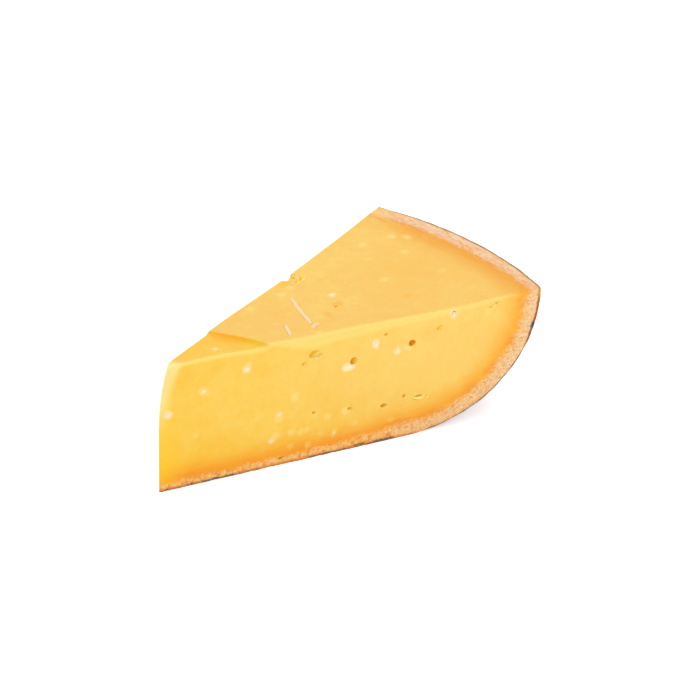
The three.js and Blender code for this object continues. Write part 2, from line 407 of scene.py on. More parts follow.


# Lumpy balls at the spots, which cut the eyes or stand as crystals and crumbs. An eye's colour deepens with
# its ball's shade, a painted shade that grows upwards and towards the wedge's point.
def ballsAt(tree, spots, size, subdivisions, lumpSize, lumpiness, seed):
    spots = placeSpots(tree, spots, size)
    ball = tree.node("GeometryNodeMeshIcoSphere", {}, {"Radius": 1, "Subdivisions": subdivisions})
    ballX, _, ballZ = tree.node("GeometryNodeInputPosition").split()
    # the ball's painted shade, stronger at its roof and on its side towards the point
    ball = tree.store(ball, {"shade": 1 + ballZ * 0.65 - ballX * 0.5})
    balls = tree.node("GeometryNodeInstanceOnPoints", {}, {
        0: spots, "Instance": ball, "Scale": tree.mark("halfSize", "FLOAT_VECTOR"),
        "Rotation": tree.vector(0, tree.mark("lean"), tree.mark("turned")),
    })
    balls = tree.node("GeometryNodeRealizeInstances", {}, {0: balls})
    lumps = tree.noise(tree.node("GeometryNodeInputPosition"), lumpSize, seed, output=1)
    lumps = tree.work("SUBTRACT", lumps, 0.5)
    return tree.move(balls, offset=lumps * (tree.mark("rough") * lumpiness))


# The crystals only leave marks on the wedge: how far off the nearest one is, and how white it is.
def shapeWedge(tree, spots, size):
    isCrystal = tree.mark("crystal").math("GREATER_THAN", 0.5)
    apart = tree.node("GeometryNodeSeparateGeometry", {}, {0: spots, 1: isCrystal})
    crystals = ballsAt(tree, apart, size, subdivisions=2, **crystalPlan["lumps"])
    hollows = ballsAt(tree, apart.other(1), size, subdivisions=4, **eyePlan["lumps"])
    hollows = tree.store(hollows, {
        "topCut": 0.0, "wornAndHighlight": 0.0, "skin": 0.0, "nose": 0.0, "eyeWall": 1.0,
        "eyeColourAndShade": tree.mark("tone") * tree.mark("shade"),
    })
    block = addRelief(tree, shapeBlock(tree, size), size)
    away = tree.node("GeometryNodeProximity", {}, {0: crystals}, output=1)
    strength = tree.node("GeometryNodeSampleNearestSurface", {}, {0: crystals, 1: tree.mark("tone")})
    block = tree.store(block, {"offCrystal": away, "whiteness": strength})
    solver = {"operation": "DIFFERENCE", "solver": "MANIFOLD"}
    block = tree.node("GeometryNodeMeshBoolean", solver, {0: block, 1: hollows})
    sharp = tree.node("GeometryNodeInputMeshEdgeAngle").math("GREATER_THAN", sharpFrom)
    return tree.node("GeometryNodeSetShadeSmooth", {"domain": "EDGE"}, {0: block, 1: sharp, 2: False})


# Spots are in millimetres: on a cut reach, height, width and tallness, and on top reach, turn in degrees,
# length along the reach and width. An eye then has its depth, how deep its colour is, partly painted shade,
# how far it leans in degrees, and how rough its wall is.
frontEyes = [
    (73.3, 49.6, 6.0, 3.6, 1.4, 0.62, 4, 0.8), (68.2, 46.2, 2.3, 1.6, 0.7, 0.75, 0, 1),
    (90.7, 42.4, 3.4, 3.2, 1.4, 1.0, -20, 1), (105.6, 51.6, 1.8, 1.4, 1.0, 0.8, 0, 1),
    (117.7, 44.9, 3.2, 2.9, 1.4, 2.5, 0, 0.6), (130.6, 48.9, 3.2, 2.3, 0.9, 0.6, 0, 1),
    (137.3, 54.6, 2.0, 2.2, 0.8, 0.45, 0, 1), (154.6, 54.0, 1.5, 1.0, 0.6, 0.6, 0, 1),
    (157.4, 55.2, 1.4, 0.9, 0.6, 0.6, 0, 1), (72.4, 21.7, 1.9, 1.3, 0.7, 1.0, 0, 1),
    (88.9, 19.8, 2.6, 1.2, 0.8, 1.0, 0, 1), (104.7, 17.4, 3.4, 1.6, 1.2, 1.1, 0, 0.7),
    (114.1, 19.8, 1.4, 2.0, 0.9, 1.0, 0, 1), (121.9, 17.5, 7.4, 2.8, 0.8, 0.6, 0, 1),
    (57.0, 3.3, 2.4, 1.4, 0.8, 1.7, 0, 1),
]
topHollows = [
    (101.2, 17.0, 7.6, 8.0, 2.5, -1.0, 15, 0.3), (104.2, 15.0, 3.2, 3.6, 1.0, 1.0, 0, 1),
    (103.8, 13.0, 3.2, 2.6, 0.7, 1.1, 0, 1), (100.4, 12.9, 3.2, 2.4, 0.7, 1.05, 0, 1),
    (95.4, -3.5, 2.2, 1.6, 0.8, 0.9, 0, 1),
]

# A crystal has how white it is. The faint ones only tint the paste.
frontCrystals = [
    (88.2, 40.0, 4.0, 2.2, 0.9), (100.9, 48.2, 1.2, 2.5, 0.9), (110.9, 42.7, 1.3, 1.9, 0.6),
    (137.1, 54.2, 1.7, 2.3, 0.7), (42.5, 49.5, 1.7, 2.1, 0.8), (43.3, 51.6, 1.6, 1.4, 0.35),
    (23.3, 43.6, 1.9, 1.3, 0.5), (25.2, 42.2, 1.4, 1.0, 0.3), (7.7, 36.2, 1.9, 1.9, 0.7),
    (63.7, 31.2, 2.4, 2.2, 0.35), (56.7, 24.5, 1.1, 1.3, 0.5), (56.4, 22.0, 2.2, 0.9, 0.35),
    (54.8, 14.7, 1.6, 1.2, 0.38), (52.8, 12.5, 1.4, 1.1, 0.5), (19.0, 23.5, 1.6, 1.2, 0.25),
    (61.8, 14.8, 2.0, 1.2, 0.35), (66.1, 13.8, 1.3, 1.2, 0.3), (69.1, 14.2, 1.3, 1.4, 0.3),
    (81.6, 9.8, 0.7, 1.6, 0.4), (75.5, 11.0, 1.2, 1.2, 0.25), (78.5, 18.2, 2.0, 2.2, 0.3),
    (46.6, 25.4, 1.2, 1.0, 0.2), (61.3, 8.1, 1.2, 1.0, 0.2), (69.5, 6.6, 1.2, 1.2, 0.3),
    (86.8, 19.0, 2.4, 1.6, 0.38), (108.1, 9.4, 1.2, 1.0, 0.2), (91.1, 12.1, 1.4, 1.2, 0.25),
    (138.6, 22.9, 1.8, 1.4, 0.15), (153.4, 52.0, 1.8, 1.4, 0.3), (37.3, 30.8, 1.0, 0.8, 0.15),
    (115.7, 43.0, 2.0, 1.2, 0.38), (72.6, 20.4, 2.4, 1.4, 0.2),
]
topCrystals = [
    (157.7, 9.7, 2.0, 2.4, 0.38), (161.5, 7.7, 1.8, 2.2, 0.38), (150.6, 4.6, 2.4, 1.8, 0.35),
    (144.5, 11.8, 2.4, 2.0, 0.35), (126.8, -0.2, 2.4, 2.0, 0.35), (100.8, 2.0, 2.6, 2.6, 0.42),
    (86.7, 11.9, 2.4, 2.2, 0.35), (68.0, 13.3, 3.0, 2.4, 0.3), (33.2, -2.2, 1.3, 1.1, 0.45),
    (135.4, 7.6, 2.2, 1.6, 0.2), (65.7, -1.2, 1.6, 1.4, 0.15), (76.9, -13.8, 1.8, 1.4, 0.3),
    (150.9, -4.4, 2.0, 1.6, 0.25), (106.9, -2.4, 1.4, 1.0, 0.15), (103.8, -4.7, 1.2, 1.2, 0.15),
    (94.0, 12.4, 1.6, 2.4, 0.3),
]
# A crumb has how far it is sunk. They lie in the mouths of the eyes and along the broken edges.
frontCrumbs = [
    (71.4, 47.9, 2.4, 1.3, 0.7), (73.6, 47.6, 2.6, 1.4, 0.7), (75.6, 48.2, 1.6, 1.2, 0.7),
    (119.4, 17.6, 2.3, 1.6, 0.6), (121.3, 17.2, 3.0, 1.7, 0.5), (123.4, 18.1, 2.0, 1.4, 0.6),
    (125.0, 17.1, 1.6, 1.2, 0.5), (153.8, 53.5, 1.3, 0.8, 0.5), (156.6, 54.8, 1.0, 0.7, 0.5),
    (90.0, 18.9, 1.2, 0.7, 0.5),
]
topCrumbs = [
    (104.6, 15.6, 2.4, 2.2, 1.2), (101.8, 14.4, 2.0, 2.2, 0.9), (98.6, 13.8, 1.8, 2.0, 0.8),
    (102.2, 12.6, 1.4, 1.6, 0.7),
]

# What the spots of a kind share: how lumpy their balls are, the size of their colour's patches, and how they
# are spread over the back cut.
eyePlan = {
    "lumps": {"lumpSize": 1.4 * mm, "lumpiness": 1.4, "seed": 6},
    "back": {"reach": (34, 146), "height": (15, 51), "reachStep": 0.7549, "heightStep": 0.5698},
}
crystalPlan = {
    "rise": 0.2,  # mm, outwards
    "solidFrom": 0.4,  # whiter ones are solid grains
    "lumps": {"lumpSize": 1.3 * mm, "lumpiness": 1.1, "seed": 5},
    "back": {"reach": (12, 138), "height": (10, 53), "reachStep": 0.618, "heightStep": 0.7321},
    "grain": 0.5 * mm,
}
crumbPlan = {
    "rise": 0.8,  # mm, outwards
    "lumps": {"lumpSize": 0.8 * mm, "lumpiness": 1.6, "seed": 8},
    "grain": 0.8 * mm,
}


# One spot: its place as (reach, turn, height), its half size along the reach, outwards and upwards, and its
# marks. The lumps of its wall keep in proportion to its least half size.
def spot(place, halfSize, tone, lean=0, rough=1, sunk=0):
    return {
        "place": place, "halfSize": [h * mm for h in halfSize], "tone": tone, "lean": radians(lean),
        "rough": rough * min(halfSize) * mm, "sunk": sunk * mm,
    }


def cutSpot(side, reach, height, width, tallness, depth, tone, lean=0, rough=1, sunk=0):
    place = (reach * mm, side * halfAngle, height * mm)
    return spot(place, (width / 2, depth, tallness / 2), tone, lean, rough, sunk)


def topSpot(reach, turn, length, width, depth, tone, lean=0, rough=1, sunk=0):
    return spot((reach * mm, radians(turn), -1), (length / 2, width / 2, depth), tone, lean, rough, sunk)


# The back cut is like the front, with its spots spread by steps that keep them apart.
def backSpot(i, details, spread):
    parts = {"reach": (0.5 + i * spread["reachStep"]) % 1, "height": (0.5 + i * spread["heightStep"]) % 1}
    reach, height = [spread[key][0] + part * (spread[key][1] - spread[key][0]) for key, part in parts.items()]
    return cutSpot(1, reach, height, *details)


def spotMesh(name, spots, isCrystal=()):
    mesh = bpy.data.meshes.new(name)
    mesh.from_pydata([s["place"] for s in spots], [], [])
    marks = {key: [s[key] for s in spots] for key in ("tone", "lean", "rough", "sunk")}
    marks["crystal"] = [float(i in isCrystal) for i in range(len(spots))]
    marks["halfSize"] = [h for s in spots for h in s["halfSize"]]
    for key, values in marks.items():
        kind, field = ("FLOAT_VECTOR", "vector") if key == "halfSize" else ("FLOAT", "value")
        mesh.attributes.new(key, kind, "POINT").data.foreach_set(field, values)
    return mesh


eyeSpots = [cutSpot(-1, *eye) for eye in frontEyes] + [topSpot(*hollow) for hollow in topHollows]
eyeSpots += [backSpot(i, eye[2:], eyePlan["back"]) for i, eye in enumerate(frontEyes)]
crystalSpots = [cutSpot(-1, *c[:4], crystalPlan["rise"], c[4]) for c in frontCrystals]
crystalSpots += [topSpot(*c[:4], crystalPlan["rise"], c[4]) for c in topCrystals]
crystalSpots += [
    backSpot(i, (*c[2:4], crystalPlan["rise"], c[4]), crystalPlan["back"])
    for i, c in enumerate(frontCrystals)
]
crumbSpots = [cutSpot(-1, *c[:4], crumbPlan["rise"], 1, sunk=c[4]) for c in frontCrumbs]
crumbSpots += [topSpot(*c[:4], crumbPlan["rise"], 1, sunk=c[4]) for c in topCrumbs]


# Colours are as they show under the studio light, which is brighter than 1.
studioLight = 1.38
cheeseLook = {
    "tip": "FBCB44",
    "heel": "FBCF64",
    "lowTip": "FBC636",
    "top": "F7C75E",
    "tipFloor": "FAC63C",
    # the pale of the worn edges and their painted highlight, also used for pale clouds and halos
    "wornAndHighlight": "FFE67E",
    "nosePale": "FFEE9C",
    "noseGold": "FECC1C",
    # painted shade on and under the slice's broken edge
    "riser": "FCB600",
    "riserEndShade": "F4C800",
    "orange": "FCAC06",
    "orangeLow": "FC9E0C",
    "topOrange": "F0A01E",
    "orangeDab": "F08C1C",
    "band": "F6CE98",
    "bandLow": "FFC468",
    "bandLowLight": "FFDC92",
    "bandTop": "F3CBA6",
    "bandLight": "FCDDB0",
    "bandDark": "C69C58",
    "bandOrange": "F4AA58",
    "underSkin": "E87A22",
    "skinLine": "8C7242",
    "ochre": "D2943A",
    "redBrown": "B25E2A",
    "skin": "9A6230",
    "skinPale": "C49A62",
    "skinDark": "5E3E22",
    "mould": "56655A",
    "teal": "3F7276",
    "tealDark": "1C3A44",
    "bloom": "A8A590",
    "pocket": "FFC638",
    "olive": "F6D66C",
    "eyeMid": "FAC400",
    "eyeDark": "E09A00",
    "amber": "F8BC48",
    "pink": "F9C083",
}
colour = {key: linear(code, studioLight) for key, code in cheeseLook.items()}
spotLight = 1.15  # eyes lie in shade and crystals are thin, so their own colours have to be lighter
spotLook = {
    "eyeWall": "FFDC76",
    "eyeDeep": "E68400",
    "crystal": "FFE2C4",
    "crumb": "FFE084",
    "curl": "F4C6A6",
    "curlPale": "F8D296",
}
colour.update({key: linear(code, spotLight) for key, code in spotLook.items()})

# Between which reaches or heights the paste changes, and the sizes of its clouds.
pastePlan = {
    "heelReach": (5 * mm, 135 * mm),
    "lowHeight": (4 * mm, 34 * mm),
    "lowReach": (20 * mm, 120 * mm),
    "paleHeight": (22 * mm, 50 * mm),
    "paleReach": (35 * mm, 105 * mm),
    "noseHeight": (16 * mm, 44 * mm),
    "goldReach": (4 * mm, 15 * mm),
    "goldHeight": (24 * mm, 44 * mm),
    "shadowWidth": 6 * mm,  # of the painted shade strip under the slice's edge, halfway along it
    "shadowEnds": 1.4 * mm,
    "cloudSize": 24 * mm,
    "flockSize": 4 * mm,
    "streakSize": 3 * mm,
    "fineSize": 1.3 * mm,
}

# Soft stains on top: reach, turn in degrees, half length along the reach, half width, strength, colour.
smears = [
    (87.9, -6.6, 2.2, 5.2, 0.9, "amber"), (126.4, -8.2, 4.0, 2.4, 0.8, "amber"),
    (97.2, -2.6, 4.2, 3.0, 1.0, "amber"), (64.2, -3.7, 2.4, 2.8, 0.7, "pink"),
    (74.1, -2.8, 2.8, 3.0, 0.7, "pink"), (95.2, 15.2, 6.5, 3.6, 1.0, "pocket"),
    (110.0, 9.0, 6.0, 3.0, 0.4, "amber"),
]

rindPlan = {
    "depthScale": 60 * mm,  # turns the outline's own measure of depth into a length
    "bandLow": 4.4 * mm,  # how thick the pale granular band is along the flat underside
    "bandSide": 7.0 * mm,
    "bandTopFront": 5.2 * mm,
    "bandTopBack": 8.7 * mm,
    "bandRadius": (80 * mm, 114 * mm),  # where it thickens
    "topFrom": (54 * mm, 57.5 * mm),  # the height where the top's own thickness sets in
    "fadeLow": 10 * mm,  # how far the orange runs on into the paste
    "fadeSide": 14 * mm,
    "fadeTop": 16 * mm,
    "lowHeight": (3 * mm, 22 * mm),  # where the rind counts as low
    "lowReach": (100 * mm, 126 * mm),
    "grit": 0.6 * mm,
    "lineWidth": 0.4 * mm,  # of the skin
    "topLineWidth": 0.9 * mm,
    "rimLineWidth": 1.2 * mm,
    "rimFrom": (33 * mm, 38 * mm),  # where the line broadens
    "ochreFrom": (51 * mm, 56 * mm),
}
# Patches in the rind: their size, seed, detail and roughness, and from where to where in the noise they
# set in.
patchPlan = {
    "dabs": (3.5 * mm, 39, 2, 0.5, 0.0, 0.25),
    "paleStreaks": (0.8 * mm, 17, 2, 0.6, 0.0, 0.3),
    "paleLow": (1.3 * mm, 37, 2, 0.6, 0.02, 0.2),
    "orangeStreaks": (0.8 * mm, 30, 2, 0.6, 0.0, 0.25),
    "darkStreaks": (0.6 * mm, 18, 2, 0.6, 0.1, 0.35),
    "redLow": (1.5 * mm, 38, 2, 0.6, 0.08, 0.25),
    "redDashes": (9 * mm, 20, 2, 0.5, -0.05, 0.15),
    "skinPale": (14 * mm, 21, 5, 0.65, -0.15, 0.35),
    "skinDark": (3 * mm, 22, 4, 0.75, -0.05, 0.35),
    "skinSpeckles": (1.1 * mm, 35, 3, 0.7, 0.0, 0.3),
    "bloom": (6 * mm, 29, 5, 0.75, 0.1, 0.4),
    "mould": (5 * mm, 23, 4, 0.75, 0.28, 0.42),
}
# Spots on the cut edge of the rind, mould up at the rim and grey-green dashes along the bottom edge: reach,
# height, half width, half tallness, colour.
mouldSpots = [
    (174.9, 40.6, 1.2, 2.2, "teal"), (175.3, 41.0, 0.8, 1.3, "tealDark"), (173.8, 37.2, 0.6, 1.0, "teal"),
    (5.6, 0.4, 1.5, 0.9, "teal"), (30.0, 0.5, 13.5, 0.8, "mould"), (79.0, 0.3, 12.0, 0.6, "mould"),
    (102.0, 0.6, 9.0, 0.7, "mould"),
]


# 1 in the patches of this kind, and 0 between them
def patches(tree, place, key):
    *noise, low, high = patchPlan[key]
    return tree.rise(tree.grain(place, *noise), low, high)


# How far below the rind's outside a place lies, by the wheel's own outline.
def rindDepth(size, radius, z):
    power = size["shoulderPower"]
    outward = ((radius - size["flatRadius"]) / (size["wheelRadius"] - size["flatRadius"])).math("MAXIMUM", 0)
    downward = ((size["rimHeight"] - z) / size["rimHeight"]).math("MAXIMUM", 0)
    return (1 - (outward ** power + downward ** power) ** (1 / power)) * rindPlan["depthScale"]


# How thick the pale granular band under the skin is.
def bandThickness(tree, radius, z, across):
    side = tree.between(tree.rise(radius, *rindPlan["bandRadius"]), rindPlan["bandLow"], rindPlan["bandSide"])
    atTop = tree.rise(across, 0, 0.55) * 0.65 + tree.rise(across, 0.75, 1) * 0.35
    atTop = tree.between(atTop, rindPlan["bandTopFront"], rindPlan["bandTopBack"])
    return tree.between(tree.rise(z, *rindPlan["topFrom"]), side, atTop)


def newMaterial(name):
    material = bpy.data.materials.new(name)
    material.use_nodes = True
    material.node_tree.nodes.clear()
    return material, Tree(material.node_tree)


# Height, in millimetres, feeds the bump. What is fixed over the surface goes to the shader's own sockets.
def finishMaterial(tree, surface, roughness, height, **fixed):
    bump = tree.node("ShaderNodeBump", {}, {"Strength": 1.0, "Distance": mm, "Height": height})
    shader = tree.node("ShaderNodeBsdfPrincipled", {}, {
        "Base Color": surface, "Roughness": roughness, "Normal": bump,
        **{key.replace("_", " "): value for key, value in fixed.items()},
    })
    tree.node("ShaderNodeOutputMaterial", {}, {"Surface": shader})


# what the geometry tree has stored on the mesh under this name
def reading(tree, name):
    return tree.node("ShaderNodeAttribute", {"attribute_name": name}, {}, output="Fac")


# More golden towards the point and the underside, and cloudy, with faint streaks that the knife left.
def pasteColour(tree, where):
    place, reach, z, across, onTop = (where[key] for key in ("place", "reach", "z", "across", "onTop"))
    paste = tree.tint(tree.rise(reach, *pastePlan["heelReach"]), colour["tip"], colour["heel"])
    low = tree.fall(z, *pastePlan["lowHeight"]) * (1 - tree.rise(reach, *pastePlan["lowReach"]) * 0.7)
    paste = tree.tint(low, paste, colour["lowTip"])
    high = tree.rise(z, *pastePlan["paleHeight"]) * tree.rise(reach, *pastePlan["paleReach"])
    paste = tree.tint(high * 0.15, paste, colour["wornAndHighlight"])
    past = reach - sliceEdge(tree, wedge, across)
    topPaste = tree.tint(tree.rise(past, -3 * mm, 0), colour["tipFloor"], colour["top"])
    paste = tree.tint(onTop, paste, topPaste)

    knifeWay = place * (1.1, 0.9, 0.5) + tree.vector(0, where["x"] * 0.8, 0)
    cloud = tree.grain(place, pastePlan["cloudSize"], 11, 3) * 0.6
    cloud = cloud + tree.grain(place, pastePlan["flockSize"], 12, 3, 0.6) * 0.5
    cloud = cloud + tree.grain(knifeWay, pastePlan["streakSize"], 10, 3, 0.6) * 0.25
    cloud = cloud + tree.grain(place, pastePlan["fineSize"], 40, 2, 0.6) * 0.25
    paste = tree.tint(tree.clamp(cloud * 0.7), paste, colour["wornAndHighlight"])
    paste = tree.tint(tree.clamp(cloud * -0.6), paste, colour["orange"])

    # the worn edges, pale partly from wear and partly from a painted highlight, which are duller where the
    # slice's edge runs out
    stepEnd = tree.rise(past, -3.5 * mm, -1.5 * mm) * tree.fall(past, -1 * mm, 0.5 * mm)
    paste = tree.tint(where["wornAndHighlight"] * 0.75 * (1 - stepEnd * 0.4), paste, colour["wornAndHighlight"])
    # a pale strip down the nose: partly wear, partly painted light showing through the thin point
    palePart = where["nose"] * tree.rise(z, *pastePlan["noseHeight"]) * 0.8
    paste = tree.tint(palePart, paste, colour["nosePale"])
    gold = tree.fall(reach, *pastePlan["goldReach"]) * tree.fall(z, *pastePlan["goldHeight"])
    paste = tree.tint(gold * 0.8, paste, colour["noseGold"])
    return addSmears(tree, where, addShadow(tree, where, past, paste))


# Painted shade: a deeper strip on and under the slice's broken edge, standing in for the shade below its
# overhang.
def addShadow(tree, where, past, paste):
    across = where["across"]
    width = across * (1 - across) * (4 * pastePlan["shadowWidth"])
    width = width + tree.rise(across, 0, 0.16) * pastePlan["shadowEnds"] + 0.3 * mm
    beneath = -past / width
    part = tree.fall(beneath, 0.15, 1) * tree.rise(beneath, -0.05, 0.02)
    riser = tree.tint(tree.rise(across, 0.12, 0.45), colour["riserEndShade"], colour["riser"])
    return tree.tint(part * tree.rise(across, -0.03, 0.13) * where["onTop"], paste, riser)


def addSmears(tree, where, paste):
    place, reach = where["place"], where["reach"]
    for smearReach, smearTurn, halfLength, halfWidth, strength, key in smears:
        smearAcross = radians(smearTurn) / wedge["cutAngle"] + 0.5
        aside = (reach - smearReach * mm) / (halfLength * mm)
        beside = (where["across"] - smearAcross) * reach * (wedge["cutAngle"] / (halfWidth * mm))
        away = (aside * aside + beside * beside) ** 0.5 + tree.grain(place, 2 * mm, 32, 2) * 0.8
        paste = tree.tint(tree.fall(away, 0.2, 1.1) * where["onTop"] * strength, paste, colour[key])
    return paste


# Orange that fades out into the paste, with dabs of a deeper orange along the band.
def addOrange(tree, where, paste):
    reach, across, onTop, low = (where[key] for key in ("reach", "across", "onTop", "low"))
    beyond = where["depth"] - where["thickness"]
    fade = tree.between(low, rindPlan["fadeSide"], rindPlan["fadeLow"])
    fade = tree.between(onTop, fade, rindPlan["fadeTop"])
    orange = tree.tint(low, colour["orange"], colour["orangeLow"])
    orange = tree.tint(onTop, orange, colour["topOrange"])
    patchy = 1 + tree.grain(where["place"], 7 * mm, 15, 3) * 0.35
    part = tree.fall(beyond / fade, -0.08, 0.95) * (1 - tree.rise(across, 0.72, 0.95) * onTop * 0.75)
    part = part * (1 - low * tree.fall(reach, 3 * mm, 22 * mm) * 0.5)
    section = tree.tint(tree.clamp(part * patchy), paste, orange)
    dabs = patches(tree, where["along"], "dabs") * tree.fall(beyond, 0.5 * mm, 4.5 * mm)
    return tree.tint(dabs * (0.5 + onTop * 0.15), section, colour["orangeDab"])


# Pale grains, with orange and dark ones among them.
def bandColour(tree, where):
    place, onTop, low = where["place"], where["onTop"], where["low"]
    band = tree.tint(low, colour["band"], colour["bandLow"])
    band = tree.tint(onTop, band, colour["bandTop"])
    light = tree.tint(low, colour["bandLight"], colour["bandLowLight"])
    streaked = place + place * (0, -0.7, 0) * onTop
    band = tree.tint(patches(tree, streaked, "paleStreaks"), band, light)
    band = tree.tint(patches(tree, place, "paleLow") * low, band, light)
    band = tree.tint(patches(tree, streaked, "orangeStreaks") * 0.8, band, colour["bandOrange"])
    band = tree.tint(patches(tree, streaked, "darkStreaks") * (0.8 - low * 0.3), band, colour["bandDark"])
    band = tree.tint(patches(tree, place, "redLow") * low * 0.7, band, colour["underSkin"])
    return tree.tint(tree.rise(where["across"], 0.86, 1) * onTop * 0.7, band, colour["heel"])


# Under the rind, where the grains break up the orange more and more until they close up into the band.
def sectionColour(tree, where, paste):
    place, reach, z, depth, onTop = (where[key] for key in ("place", "reach", "z", "depth", "onTop"))
    low = tree.fall(z, *rindPlan["lowHeight"]) * (1 - tree.rise(reach, *rindPlan["lowReach"]) * 0.75)
    alongCut = tree.vector(reach * 0.3, 0, z)
    along = alongCut + (place * (1, 0.16, 1) - alongCut) * onTop
    ragged = tree.grain(along, 2 * mm, 13, 3, 0.6) * (2.4 * mm)
    ragged = ragged + tree.grain(place, 6 * mm, 14, 2) * (1.2 * mm)
    thickness = bandThickness(tree, where["radius"], z, where["across"]) + ragged
    where.update({"low": low, "along": along, "thickness": thickness})
    section = addOrange(tree, where, paste)

    grit = tree.grain(place * (0.8, 1, 1), rindPlan["grit"], 16, 2, 0.7)
    grains = tree.fall(depth / thickness, 0.45, 1.35)
    where["grit"] = grit * grains
    lowLeft = low * tree.fall(reach, 20 * mm, 75 * mm)
    speckled = grit * 1.3 * tree.fall(depth / thickness, 0.9, 1.5)
    pale = tree.rise(grains - lowLeft * 0.15 + speckled, -0.1, 1.0)
    section = tree.tint(pale, section, bandColour(tree, where))
    nearSkin = tree.fall(depth + ragged * 0.3, 0.8 * mm, 2.2 * mm) * tree.between(low, 0.05, 0.75)
    return tree.tint(nearSkin, section, colour["underSkin"])


# The thin skin as the knife cut it: olive brown, broader and redder up at the rim, with mould in places.
def skinLine(tree, where, section):
    place, reach, z, depth = (where[key] for key in ("place", "reach", "z", "depth"))
    ragged = tree.grain(place, 2.2 * mm, 19, 3, 0.6) * (0.5 * mm - where["onTop"] * (0.25 * mm))
    atRim = tree.rise(z, *rindPlan["rimFrom"]) * (1 - where["onTop"])
    width = tree.between(atRim, rindPlan["lineWidth"], rindPlan["rimLineWidth"])
    width = tree.between(where["onTop"], width, rindPlan["topLineWidth"])
    # broader and patchier along the bottom edge
    width = width + tree.fall(z, 1 * mm, 3 * mm) * tree.grain(place, 5 * mm, 33, 2) * (1.5 * mm)
    line = tree.tint(tree.rise(z, *rindPlan["ochreFrom"]), colour["redBrown"], colour["ochre"])
    line = tree.tint(atRim, colour["skinLine"], line)
    line = tree.tint(where["onTop"] * 0.5, line, colour["ochre"])
    redDashes = patches(tree, place, "redDashes") * tree.fall(z, 2 * mm, 5 * mm)
    line = tree.tint(redDashes * 0.8, line, colour["underSkin"])
    section = tree.tint(tree.fall(depth + ragged, width * 0.8, width * 1.2), section, line)
    for spotReach, spotHeight, halfWidth, halfTall, key in mouldSpots:
        aside = (reach - spotReach * mm) / (halfWidth * mm)
        above = (z - spotHeight * mm) / (halfTall * mm)
        away = (aside * aside + above * above) ** 0.5 + tree.grain(place, 1.3 * mm, 28, 3, 0.7) * 2.2
        mould = tree.fall(away, 0.6, 1.1) * (1 - where["onTop"]) * 0.9
        section = tree.tint(mould, section, colour[key])
    return section


# The wheel's outside: brushed ochre-brown, mottled, with a dull bloom and small patches of mould.
def skinColour(tree, place, skinBump):
    skin = tree.tint(patches(tree, place, "skinPale"), colour["skin"], colour["skinPale"])
    skin = tree.tint(patches(tree, place, "skinDark") * 0.6, skin, colour["skinDark"])
    skin = tree.tint(patches(tree, place, "skinSpeckles") * 0.5, skin, colour["bandDark"])
    skin = tree.tint(tree.rise(-skinBump, 0.05, 0.35) * 0.6, skin, colour["skinDark"])
    skin = tree.tint(patches(tree, place, "bloom") * 0.5, skin, colour["bloom"])
    return tree.tint(patches(tree, place, "mould") * 0.75, skin, colour["mould"])


# The walls of the eyes, deeper in colour from one tone to the next: painted light and shade inside them.
eyeTones = [(-0.4, 0, "eyeWall"), (0.25, 0.7, "eyeMid"), (0.7, 1.3, "eyeDark"), (1.0, 1.5, "eyeDeep")]


def addEyes(tree, surface):
    wall = colour["olive"]
    for low, high, key in eyeTones:
        wall = tree.tint(tree.rise(reading(tree, "eyeColourAndShade"), low, high), wall, colour[key])
    return tree.tint(reading(tree, "eyeWall"), surface, wall)


# Each crystal whitens the paste over and round it.
def addHalos(tree, surface, place):
    offCrystal = reading(tree, "offCrystal") + tree.grain(place, 1.1 * mm, 7, 3, 0.6) * (1.1 * mm)
    whiteness = reading(tree, "whiteness")
    haloColour = tree.tint(tree.rise(whiteness, 0.2, 0.7), colour["wornAndHighlight"], colour["crystal"])
    halo = tree.fall(offCrystal, -0.3 * mm, 1.8 * mm) * whiteness ** 0.7
    return tree.tint(halo * 0.85, surface, haloColour)


def cheeseMaterial():
    material, tree = newMaterial("cheese")
    place = tree.node("ShaderNodeTexCoord", output="Object")
    x, y, z = place.split()
    fromMeet = x - (wheelAxis - wedge["cutsMeet"])
    radius = ((x - wheelAxis) ** 2 + y * y) ** 0.5
    where = {
        "place": place, "x": x, "z": z, "radius": radius,
        "reach": (fromMeet ** 2 + y * y) ** 0.5,
        "across": tree.work("ARCTAN2", y, fromMeet) / wedge["cutAngle"] + 0.5,
        "depth": rindDepth(wedge, radius, z),
        "onTop": reading(tree, "topCut"), "wornAndHighlight": reading(tree, "wornAndHighlight"), "nose": reading(tree, "nose"),
    }
    surface = sectionColour(tree, where, pasteColour(tree, where))
    surface = skinLine(tree, where, surface)
    skinFace = tree.rise(reading(tree, "skin"), 0.55, 0.95)
    brushed = tree.grain(tree.vector(radius * 0.3, y * 0.25, z), 0.9 * mm, 36, 2)
    skinBump = tree.grain(place, 1.6 * mm, 27, 4, 0.7) + tree.grain(place, 4 * mm, 34, 2) * 0.8
    skinBump = skinBump + brushed * 0.5
    surface = tree.tint(skinFace, surface, skinColour(tree, place, skinBump))
    surface = addHalos(tree, addEyes(tree, surface), place)

    grit = where["grit"] * (1 - skinFace)
    roughness = 0.5 + tree.grain(place, 3 * mm, 24) * 0.06 + skinFace * 0.25
    knife = tree.grain(place * (1, 0.25, 0.6), 2.2 * mm, 25, 3) * 0.03
    fine = tree.grain(place, 0.7 * mm, 26, 2) * 0.02
    height = knife + fine + grit * 0.2 + skinBump * skinFace * 0.6
    finishMaterial(tree, surface, roughness, height, Subsurface_Weight=0.3, Subsurface_Radius=(1, 0.5, 0.15),
                   Subsurface_Scale=3 * mm, Specular_IOR_Level=0.2)
    return material


